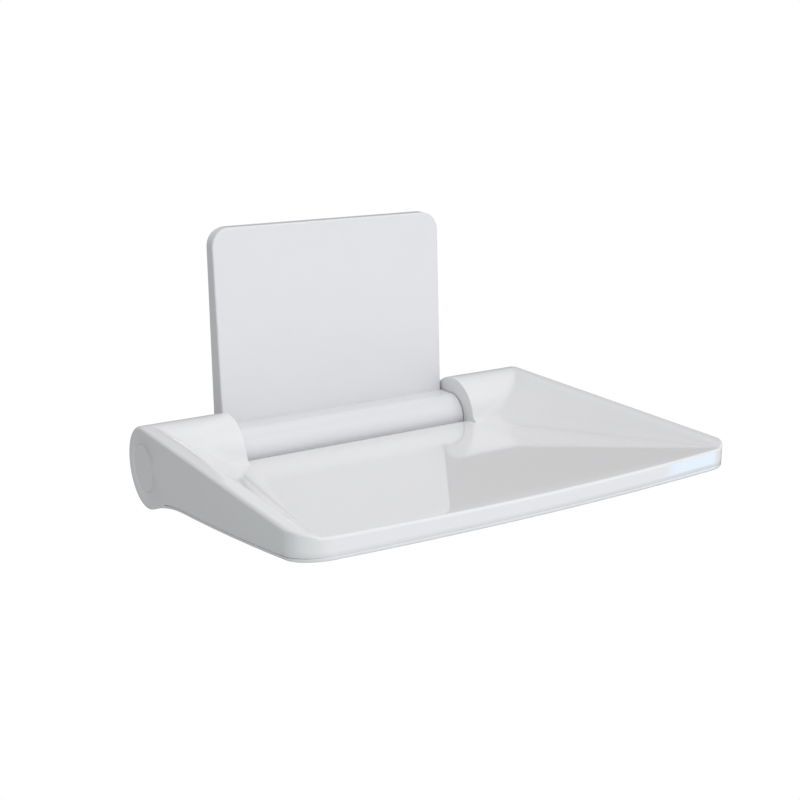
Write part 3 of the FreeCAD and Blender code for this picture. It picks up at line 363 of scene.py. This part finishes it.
class SeatForm:
    """Heights and outlines of the seat."""

    def __init__(self, s):
        self.s = s
        self.find_front_arcs()
        self.find_hollow_arc()
        self.find_bulge_arc()

    def find_front_arcs(self):
        """The front edge seen from above: a wide bow and a corner arc that touches it and the side."""
        s = self.s
        self.bow_radius = (s.half_width**2 + s.bow**2) / (2 * s.bow)
        self.bow_centre = self.bow_radius - s.reach
        self.corner_x = s.half_width - s.corner
        self.corner_y = self.bow_centre - math.sqrt((self.bow_radius - s.corner) ** 2 - self.corner_x**2)
        self.meet_x = self.corner_x * self.bow_radius / (self.bow_radius - s.corner)

    def find_hollow_arc(self):
        """The underside behind the hollow's end: an arc that leaves the knuckle along it."""
        s = self.s
        out_y = math.sin(s.leave_angle)
        out_z = math.cos(s.leave_angle)
        self.leave = (-s.knuckle * out_y, -s.knuckle * out_z)
        to_end_y = -s.mid_reach - self.leave[0]
        to_end_z = -s.mid_drop - self.leave[1]
        self.hollow_radius = (to_end_y**2 + to_end_z**2) / (-2 * (to_end_y * out_y + to_end_z * out_z))
        self.hollow_y = self.leave[0] - self.hollow_radius * out_y
        self.hollow_z = self.leave[1] - self.hollow_radius * out_z

    def find_bulge_arc(self):
        """The underside ahead of the hollow's end: a flat arc to the far end, which bulges down."""
        s = self.s
        far = s.reach + s.far_margin
        along = far - s.mid_reach
        up = s.front_rise + s.mid_drop
        chord = math.hypot(along, up)
        self.bulge_radius = chord**2 / (8 * s.bulge) + s.bulge / 2
        to_centre = self.bulge_radius - s.bulge
        self.bulge_y = -(far + s.mid_reach) / 2 + up / chord * to_centre
        self.bulge_z = (s.front_rise - s.mid_drop) / 2 + along / chord * to_centre

    def front(self, x):
        """Front edge at a place across the seat."""
        x = abs(x)
        if x <= self.meet_x:
            return self.bow_centre - math.sqrt(self.bow_radius**2 - x**2)
        across = min(x - self.corner_x, self.s.corner)
        return self.corner_y - math.sqrt(self.s.corner**2 - across**2)

    def underside(self, y):
        """Height of the underside."""
        if y < -self.s.mid_reach:
            return self.bulge_z - math.sqrt(self.bulge_radius**2 - (y - self.bulge_y) ** 2)
        return self.hollow_z + math.sqrt(self.hollow_radius**2 - (y - self.hollow_y) ** 2)

    def lip(self, x):
        """Height of the shell's lower edge over the underside along the front."""
        s = self.s
        opened = share((abs(x) - self.corner_x) / s.corner, s.lip_start, s.lip_end)
        return s.front_lip + (s.lip - s.front_lip) * opened

    def rim(self, y):
        """Height of the rims, which fall from the knuckles to the front."""
        s = self.s
        return s.knuckle + (s.knuckle - s.rim_front) * min(y, 0) / s.reach

    def dish(self, x, y):
        """Top of the dish and rims, without the knuckles."""
        s = self.s
        floor = s.rim_front - s.floor_slope * (s.reach + y)
        rim = self.rim(y)
        flank = rim - s.flank_slope * (s.half_width - s.rim_width - abs(x))
        from_front = (s.reach + y) / s.reach
        regained = (1 - s.flank_blend_front) * from_front / s.flank_blend_full
        blend = s.flank_blend * min(1.0, s.flank_blend_front + regained)
        top = smooth_max(floor, flank, blend * s.flank_slope)
        return -smooth_max(-top, -rim, s.rim_blend * s.flank_slope)

    def valley(self, x, radius):
        """The hollow rounding in front of a knuckle: its radius, its centre and the dish's slope."""
        s = self.s
        start = s.knuckle_inner + s.valley
        span = s.valley_span * (s.half_width - s.rim_width - s.knuckle_inner)
        widened = share(abs(x), start, start + span)
        r = s.valley + (s.side_valley - s.valley) * widened * widened * (3 - 2 * widened)
        near = 0.0
        far = -radius - r
        for _ in range(HALVINGS):
            y = (near + far) / 2
            slope = (self.dish(x, y + SLOPE_STEP) - self.dish(x, y - SLOPE_STEP)) / (2 * SLOPE_STEP)
            z = math.sqrt((radius + r) ** 2 - y**2)
            if z > self.dish(x, y) + r * math.hypot(1, slope):
                near = y
            else:
                far = y
        return r, y, z, slope

    def top(self, x, y, radius, valley):
        """Top of the seat with the knuckle and the hollow rounding in front of it."""
        r, centre_y, centre_z, slope = valley
        if y <= centre_y + r * slope / math.hypot(1, slope):
            return self.dish(x, y)
        if y <= centre_y * radius / (radius + r):
            return centre_z - math.sqrt(max(r**2 - (y - centre_y) ** 2, 0.0))
        return math.sqrt(max(radius**2 - y**2, 0.0))


# Sections of the seat shell


MIDDLE_STATIONS = 22
END_STATIONS = 4
FLANK_STATIONS = 56
RIM_STATIONS = 9
SIDE_STATIONS = 8
WALL_STEPS = 3
CREASE_STEPS = 5
DISH_STEPS = 46
VALLEY_STEPS = 48
ROUND_STEPS = 52
LEAVE_STEPS = 3
UNDER_STEPS = 8


class Station(NamedTuple):
    """A place across the right half of the seat where a section is taken."""

    x: float
    drop: float = 0.0        # by how much the rounding of the side narrows the section
    shrink: float = 0.0      # by how much the rounding of its inner end narrows the knuckle
    knuckle: bool = True     # a knuckle is here, not the notch between the two


def spread(start, stop, count, ends=True):
    """Evenly spaced values from start to stop, with or without the last one."""
    return [start + (stop - start) * i / count for i in range(count + ends)]


def rounding(offset, radius):
    """How far a rounded edge has dropped at an offset from where its arc starts."""
    offset = min(max(offset, 0.0), radius)
    return radius - math.sqrt(radius**2 - offset**2)


def across_stations(s):
    """The places across the right half where a section is taken."""
    end = s.knuckle_inner + s.end_round
    inner_rim = s.half_width - s.rim_width
    flat = s.half_width - s.side_round
    stations = [Station(x, knuckle=False) for x in spread(0.0, s.knuckle_inner, MIDDLE_STATIONS)]
    for turn in spread(0.0, math.pi / 2, END_STATIONS):
        shrink = s.end_round * (1 - math.sin(turn))
        stations.append(Station(end - s.end_round * math.cos(turn), shrink=shrink))
    stations += [Station(x) for x in spread(end, inner_rim, FLANK_STATIONS)[1:]]
    stations += [Station(x) for x in spread(inner_rim, flat, RIM_STATIONS)[1:]]
    for turn in spread(0.0, math.pi / 2, SIDE_STATIONS)[1:]:
        out = s.side_round * math.sin(turn)
        stations.append(Station(flat + out, drop=rounding(out, s.side_round)))
    return stations


def front_points(form, x, drop):
    """From the front's lower edge up and over the rounded top edge."""
    s = form.s
    front = form.front(x)
    r = s.crease_round
    centre_y = front + r
    centre_z = form.dish(x, centre_y) - drop - r
    low = form.underside(front) + form.lip(x)
    points = [(front, z) for z in spread(low, centre_z, WALL_STEPS, ends=False)]
    for turn in spread(0.0, math.pi / 2, CREASE_STEPS, ends=False):
        points.append((centre_y - r * math.cos(turn), centre_z + r * math.sin(turn)))
    return points


def knuckle_points(form, station, start):
    """From the dish up the hollow rounding, round the knuckle and on to the notch's line below."""
    s = form.s
    radius = s.knuckle - station.shrink
    valley = form.valley(station.x, radius)
    points = [
        (y, form.top(station.x, y, radius, valley) - station.drop)
        for y in spread(start, 0.0, VALLEY_STEPS, ends=False)
    ]
    radius -= station.drop
    first = math.pi / 2
    for turn in spread(first, first - math.pi - s.leave_angle, ROUND_STEPS, ends=False):
        points.append((radius * math.cos(turn), radius * math.sin(turn)))
    for y in spread(form.leave[0], -s.notch, LEAVE_STEPS, ends=False):
        points.append((y, form.underside(y) + station.drop))
    return points


def notch_points(form, x, start):
    """From the dish to its rounded rear edge and down in front of the barrel, with as many points."""
    s = form.s
    r = s.notch_round
    rear = -s.notch
    centre_y = rear - r
    centre_z = form.dish(x, centre_y) - r
    points = [(y, form.dish(x, y)) for y in spread(start, centre_y, VALLEY_STEPS, ends=False)]
    half = ROUND_STEPS // 2
    for turn in spread(0.0, math.pi / 2, half, ends=False):
        points.append((centre_y + r * math.sin(turn), centre_z + r * math.cos(turn)))
    down_steps = ROUND_STEPS - half + LEAVE_STEPS
    points += [(rear, z) for z in spread(centre_z, form.underside(rear), down_steps, ends=False)]
    return points


def section(form, station):
    """Points (y, z) from the front's lower edge over the top and round the rear to the cover's edge."""
    s = form.s
    x = station.x
    points = front_points(form, x, station.drop)
    dish_start = form.front(x) + s.crease_round
    dish_end = -s.knuckle - s.side_valley
    for y in spread(dish_start, dish_end, DISH_STEPS, ends=False):
        points.append((y, form.dish(x, y) - station.drop))
    if station.knuckle:
        points += knuckle_points(form, station, dish_end)
    else:
        points += notch_points(form, x, dish_end)
    for y in spread(-s.notch, -s.cover_back, UNDER_STEPS):
        points.append((y, form.underside(y) + station.drop))
    return points


# Mesh of the seat shell, in millimetres until it is done


SAME_PLACE = 0.0001
HOLE_STEPS = 64
SIDE_EDGE_STEPS = 24


def in_plane(element, x):
    """Whether an edge or a face lies in the plane at x."""
    return all(abs(v.co.x - x) < SAME_PLACE for v in element.verts)


def hole_edges(bm, x, radius):
    """The edges of a round hole about the hinge axis."""
    ring = bmesh.ops.create_circle(bm, segments=HOLE_STEPS, radius=radius, cap_ends=False)["verts"]
    bmesh.ops.rotate(bm, verts=ring, matrix=Matrix.Rotation(math.radians(90), 3, "Y"))
    bmesh.ops.translate(bm, verts=ring, vec=(x, 0, 0))
    return list({edge for v in ring for edge in v.link_edges})


def half_skin(form):
    """The right half's skin: a grid laid over the sections."""
    stations = across_stations(form.s)
    rows = [section(form, station) for station in stations]
    across = len(rows) - 1
    along = len(rows[0]) - 1
    bm = bmesh.new()
    bmesh.ops.create_grid(bm, x_segments=along, y_segments=across, size=0.5)
    for v in bm.verts:
        i = round((v.co.y + 0.5) * across)
        j = round((v.co.x + 0.5) * along)
        v.co = (stations[i].x, *rows[i][j])
    bmesh.ops.remove_doubles(bm, verts=bm.verts, dist=SAME_PLACE)
    return bm


def close_knuckle_end(bm, s):
    """The knuckle's inner face with the axle's hole, in place of the faces between notch and knuckle."""
    between = [face for face in bm.faces if in_plane(face, s.knuckle_inner)]
    bmesh.ops.delete(bm, geom=between, context="FACES")
    border = [edge for edge in bm.edges if len(edge.link_faces) == 1 and in_plane(edge, s.knuckle_inner)]
    hole = hole_edges(bm, s.knuckle_inner, s.axle_hole)
    bmesh.ops.triangle_fill(bm, edges=border + hole, use_beauty=True, use_dissolve=False)


def close_side(bm, form):
    """The seat's outer side down to the parting line, with the end cap's hole."""
    s = form.s
    side = s.half_width
    border = [edge for edge in bm.edges if in_plane(edge, side)]
    ends = [v for edge in border for v in edge.verts if sum(v in other.verts for other in border) == 1]
    previous, rear_end = sorted(ends, key=lambda v: v.co.y)
    for y in spread(previous.co.y, -s.cover_back, SIDE_EDGE_STEPS)[1:]:
        vert = bm.verts.new((side, y, form.underside(y) + s.lip))
        border.append(bm.edges.new((previous, vert)))
        previous = vert
    border.append(bm.edges.new((previous, rear_end)))
    hole = hole_edges(bm, side, s.cap_hole)
    bmesh.ops.triangle_fill(bm, edges=border + hole, use_beauty=True, use_dissolve=False)


def add_left_half(bm):
    """The left half as the right one's mirror image, with all faces turned outwards."""
    copy = bmesh.ops.duplicate(bm, geom=bm.verts[:] + bm.edges[:] + bm.faces[:])["geom"]
    left = [item for item in copy if isinstance(item, bmesh.types.BMVert)]
    bmesh.ops.scale(bm, verts=left, vec=(-1, 1, 1))
    bmesh.ops.remove_doubles(bm, verts=bm.verts, dist=SAME_PLACE)
    bmesh.ops.recalc_face_normals(bm, faces=bm.faces)
    top = max(bm.faces, key=lambda face: face.calc_center_median().z)
    if top.normal.z < 0:
        bmesh.ops.reverse_faces(bm, faces=bm.faces)


def seat_skin(s):
    """The whole outer skin of the moulded seat, open below, in metres and in its place."""
    form = SeatForm(s)
    bm = half_skin(form)
    close_knuckle_end(bm, s)
    close_side(bm, form)
    add_left_half(bm)
    smooth_faces(bm)
    bm.transform(Matrix.Translation(HINGE) @ Matrix.Scale(MM, 4))
    return bm


# Stage


SENSOR_WIDTH = 36.0
FROM_FRONT = (0.0, -1.0, 0.0)
FROM_RIGHT = (0.6, -0.8, 0.0)
FROM_ABOVE = (0.0, 0.0, 1.0)
FROM_SKY = (0.0, -0.7, 0.7)
FROM_BELOW = (0.0, 0.0, -1.0)


def camera_turn(stage):
    """Rotation of the camera from its yaw, pitch and roll."""
    yaw = stage.camera_yaw
    pitch = stage.camera_pitch
    roll = stage.camera_roll
    ahead = Vector((math.sin(yaw) * math.cos(pitch), math.cos(yaw) * math.cos(pitch), -math.sin(pitch)))
    level = Vector((math.cos(yaw), -math.sin(yaw), 0))
    upright = level.cross(ahead)
    right = level * math.cos(roll) + upright * math.sin(roll)
    up = upright * math.cos(roll) - level * math.sin(roll)
    return Matrix((right, up, -ahead)).transposed()


def seat_camera(stage):
    """The camera at the photograph's place."""
    data = bpy.data.cameras.new("camera")
    data.lens = stage.camera_lens
    data.sensor_width = SENSOR_WIDTH
    camera = bpy.data.objects.new("camera", data)
    place = HINGE + Vector(stage.camera_place)
    camera.matrix_world = Matrix.Translation(place) @ camera_turn(stage).to_4x4()
    bpy.context.scene.collection.objects.link(camera)
    return camera


def soft_lamp(name, power, direction, degrees, mirrored, tint=WHITE):
    """A soft lamp as wide as some degrees of the sky, which the gloss mirrors or not."""
    data = bpy.data.lights.new(name, "SUN")
    data.energy = power
    data.color = tint
    data.angle = math.radians(degrees)
    lamp = bpy.data.objects.new(name, data)
    lamp.rotation_euler = Vector(direction).to_track_quat("Z", "Y").to_euler()
    lamp.visible_glossy = mirrored
    bpy.context.scene.collection.objects.link(lamp)


def panel_lamp(name, power, tint, place, aim, size):
    """A square lamp that faces a point."""
    data = bpy.data.lights.new(name, "AREA")
    data.size = size
    data.energy = power
    data.color = tint
    lamp = bpy.data.objects.new(name, data)
    lamp.location = place
    lamp.rotation_euler = (Vector(place) - Vector(aim)).to_track_quat("Z", "Y").to_euler()
    bpy.context.scene.collection.objects.link(lamp)


def add_lamps(stage):
    """Five soft lamps round the seat and two panels."""
    soft_lamp("front light", stage.front, FROM_FRONT, degrees=130, mirrored=True, tint=stage.front_tint)
    soft_lamp("right light", stage.right, FROM_RIGHT, degrees=120, mirrored=True)
    soft_lamp("top light", stage.top, FROM_ABOVE, degrees=60, mirrored=False)
    soft_lamp("sky light", stage.sky, FROM_SKY, degrees=130, mirrored=False)
    soft_lamp("low light", stage.low, FROM_BELOW, degrees=60, mirrored=False)
    panel_lamp(
        "left panel", stage.left, stage.left_tint, stage.left_place, stage.left_aim, stage.left_size
    )
    panel_lamp(
        "cool panel", stage.cool, stage.cool_tint, stage.cool_place, stage.cool_aim, stage.cool_size
    )


def floor_white():
    """Plain white that glows at full strength to the camera."""
    material = bpy.data.materials.new("floor white")
    material.use_nodes = True
    tree = material.node_tree
    tree.nodes.clear()
    glow = tree.nodes.new("ShaderNodeEmission")
    glow.inputs["Color"].default_value = (*WHITE, 1)
    glow.inputs["Strength"].default_value = 1.0
    out = tree.nodes.new("ShaderNodeOutputMaterial")
    tree.links.new(glow.outputs["Emission"], out.inputs["Surface"])
    return material


def add_floor(stage):
    """Plain floor far below the seat, hidden from light and gloss so that only the camera sees it."""
    bm = bmesh.new()
    bmesh.ops.create_grid(bm, x_segments=1, y_segments=1, size=stage.floor_width / 2)
    bmesh.ops.translate(bm, verts=bm.verts, vec=(0, 0, HINGE.z - stage.floor_drop))
    mesh = bpy.data.meshes.new("floor")
    bm.to_mesh(mesh)
    bm.free()
    mesh.materials.append(floor_white())
    floor = bpy.data.objects.new("floor", mesh)
    floor.visible_diffuse = False
    floor.visible_glossy = False
    floor.visible_shadow = False
    bpy.context.scene.collection.objects.link(floor)


def background(tree, power):
    """A white background of one strength."""
    node = tree.nodes.new("ShaderNodeBackground")
    node.inputs["Color"].default_value = (*WHITE, 1)
    node.inputs["Strength"].default_value = power
    return node.outputs["Background"]


def surroundings(stage):
    """White to the camera and through glass, dimmer in the gloss, and an even fill to all else."""
    world = bpy.data.worlds.new("surroundings")
    world.use_nodes = True
    tree = world.node_tree
    tree.nodes.clear()
    rays = tree.nodes.new("ShaderNodeLightPath")
    seen = tree.nodes.new("ShaderNodeMath")
    seen.operation = "MAXIMUM"
    tree.links.new(rays.outputs["Is Camera Ray"], seen.inputs[0])
    tree.links.new(rays.outputs["Is Transmission Ray"], seen.inputs[1])
    light = background(tree, stage.fill)
    for ray, power in ((rays.outputs["Is Glossy Ray"], stage.around), (seen.outputs["Value"], 1.0)):
        mix = tree.nodes.new("ShaderNodeMixShader")
        tree.links.new(ray, mix.inputs["Fac"])
        tree.links.new(light, mix.inputs[1])
        tree.links.new(background(tree, power), mix.inputs[2])
        light = mix.outputs["Shader"]
    out = tree.nodes.new("ShaderNodeOutputWorld")
    tree.links.new(light, out.inputs["Surface"])
    return world


# Operators


class WALLSEAT_OT_stage(bpy.types.Operator):
    """Camera, lamps, floor and white surroundings"""

    bl_idname = "wallseat.stage"
    bl_label = "Stage"

    def execute(self, context):
        scene = context.scene
        stage = scene.wallseat_stage
        scene.camera = seat_camera(stage)
        add_lamps(stage)
        add_floor(stage)
        scene.world = surroundings(stage)
        scene.view_settings.view_transform = "Standard"
        return {"FINISHED"}


def seat_plastic(context):
    """The seat's white plastic, made once for all its pieces."""
    name = "seat white plastic"
    return bpy.data.materials.get(name) or plastic(name, context.scene.wallseat_finish.seat_white)


class WALLSEAT_OT_seat_shell(bpy.types.Operator):
    """Moulded seat with its dish, rims and knuckles"""

    bl_idname = "wallseat.seat_shell"
    bl_label = "Seat Shell"

    def execute(self, context):
        sizes = in_millimetres(context.scene.wallseat_sizes)
        white = seat_plastic(context)
        piece = add_piece("seat_shell_moulding", seat_skin(sizes), white, SEAT_BODY)
        thickness = piece.modifiers.new("wall", "SOLIDIFY")
        thickness.thickness = sizes.wall * MM
        thickness.offset = -1.0
        even_shading(piece)
        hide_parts("seat_shell")
        return {"FINISHED"}


class WALLSEAT_OT_seat_covers(bpy.types.Operator):
    """Cover under the seat and the round caps at its knuckles"""

    bl_idname = "wallseat.seat_covers"
    bl_label = "Seat Covers"

    def execute(self, context):
        white = seat_plastic(context)
        for node in ("seat_underside", "end_cap_left", "end_cap_right"):
            dressed_node(node, white, SEAT_BODY)
        return {"FINISHED"}


class WALLSEAT_OT_wall_covers(bpy.types.Operator):
    """Wall cover and barrel cover"""

    bl_idname = "wallseat.wall_covers"
    bl_label = "Wall Covers"

    def execute(self, context):
        white = plastic("cover white plastic", context.scene.wallseat_finish.cover_white)
        for node in ("wall_cover", "barrel_cover"):
            dressed_node(node, white, WALL_BODY)
        return {"FINISHED"}


class WALLSEAT_OT_hardware(bpy.types.Operator):
    """Finishes of the steel, nylon and rubber pieces"""

    bl_idname = "wallseat.hardware"
    bl_label = "Hardware Finishes"

    def execute(self, context):
        finish = context.scene.wallseat_finish
        by_slot = {
            "frame_steel": metal("satin frame steel", finish.steel),
            "bright_steel": metal("turned steel", finish.steel, roughness=0.22),
            "bearing_plastic": plastic("natural nylon", finish.nylon, roughness=0.4, orange_peel=0.1),
            "seal_rubber": plastic("seal rubber", finish.rubber, roughness=0.7, orange_peel=0.2),
        }
        for part in frame["record"]["subparts"]:
            material = by_slot.get(part["material_slot"])
            if material:
                node = frame["nodes"][part["node"]]
                node.data.materials.clear()
                node.data.materials.append(material)
        return {"FINISHED"}


OPERATORS = (
    WALLSEAT_OT_stage,
    WALLSEAT_OT_seat_shell,
    WALLSEAT_OT_seat_covers,
    WALLSEAT_OT_wall_covers,
    WALLSEAT_OT_hardware,
)
SETTINGS = {
    "wallseat_sizes": SeatSizes,
    "wallseat_finish": SeatFinish,
    "wallseat_stage": StageSettings,
}


class WALLSEAT_PT_panel(bpy.types.Panel):
    """Pieces of the wall seat"""

    bl_idname = "WALLSEAT_PT_panel"
    bl_label = "Wall Seat"
    bl_space_type = "VIEW_3D"
    bl_region_type = "UI"
    bl_category = "Wall Seat"

    def draw(self, context):
        for operator in OPERATORS:
            self.layout.operator(operator.bl_idname)


CLASSES = (*SETTINGS.values(), *OPERATORS, WALLSEAT_PT_panel)


def register():
    for item in CLASSES:
        bpy.utils.register_class(item)
    for name, group in SETTINGS.items():
        setattr(bpy.types.Scene, name, bpy.props.PointerProperty(type=group))


def unregister():
    for name in SETTINGS:
        delattr(bpy.types.Scene, name)
    for item in reversed(CLASSES):
        bpy.utils.unregister_class(item)


def main():
    """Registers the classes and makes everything."""
    register()
    bpy.ops.wallseat.stage()
    bpy.ops.wallseat.seat_shell()
    bpy.ops.wallseat.seat_covers()
    bpy.ops.wallseat.wall_covers()
    bpy.ops.wallseat.hardware()


if __name__ == "__main__":
    main()
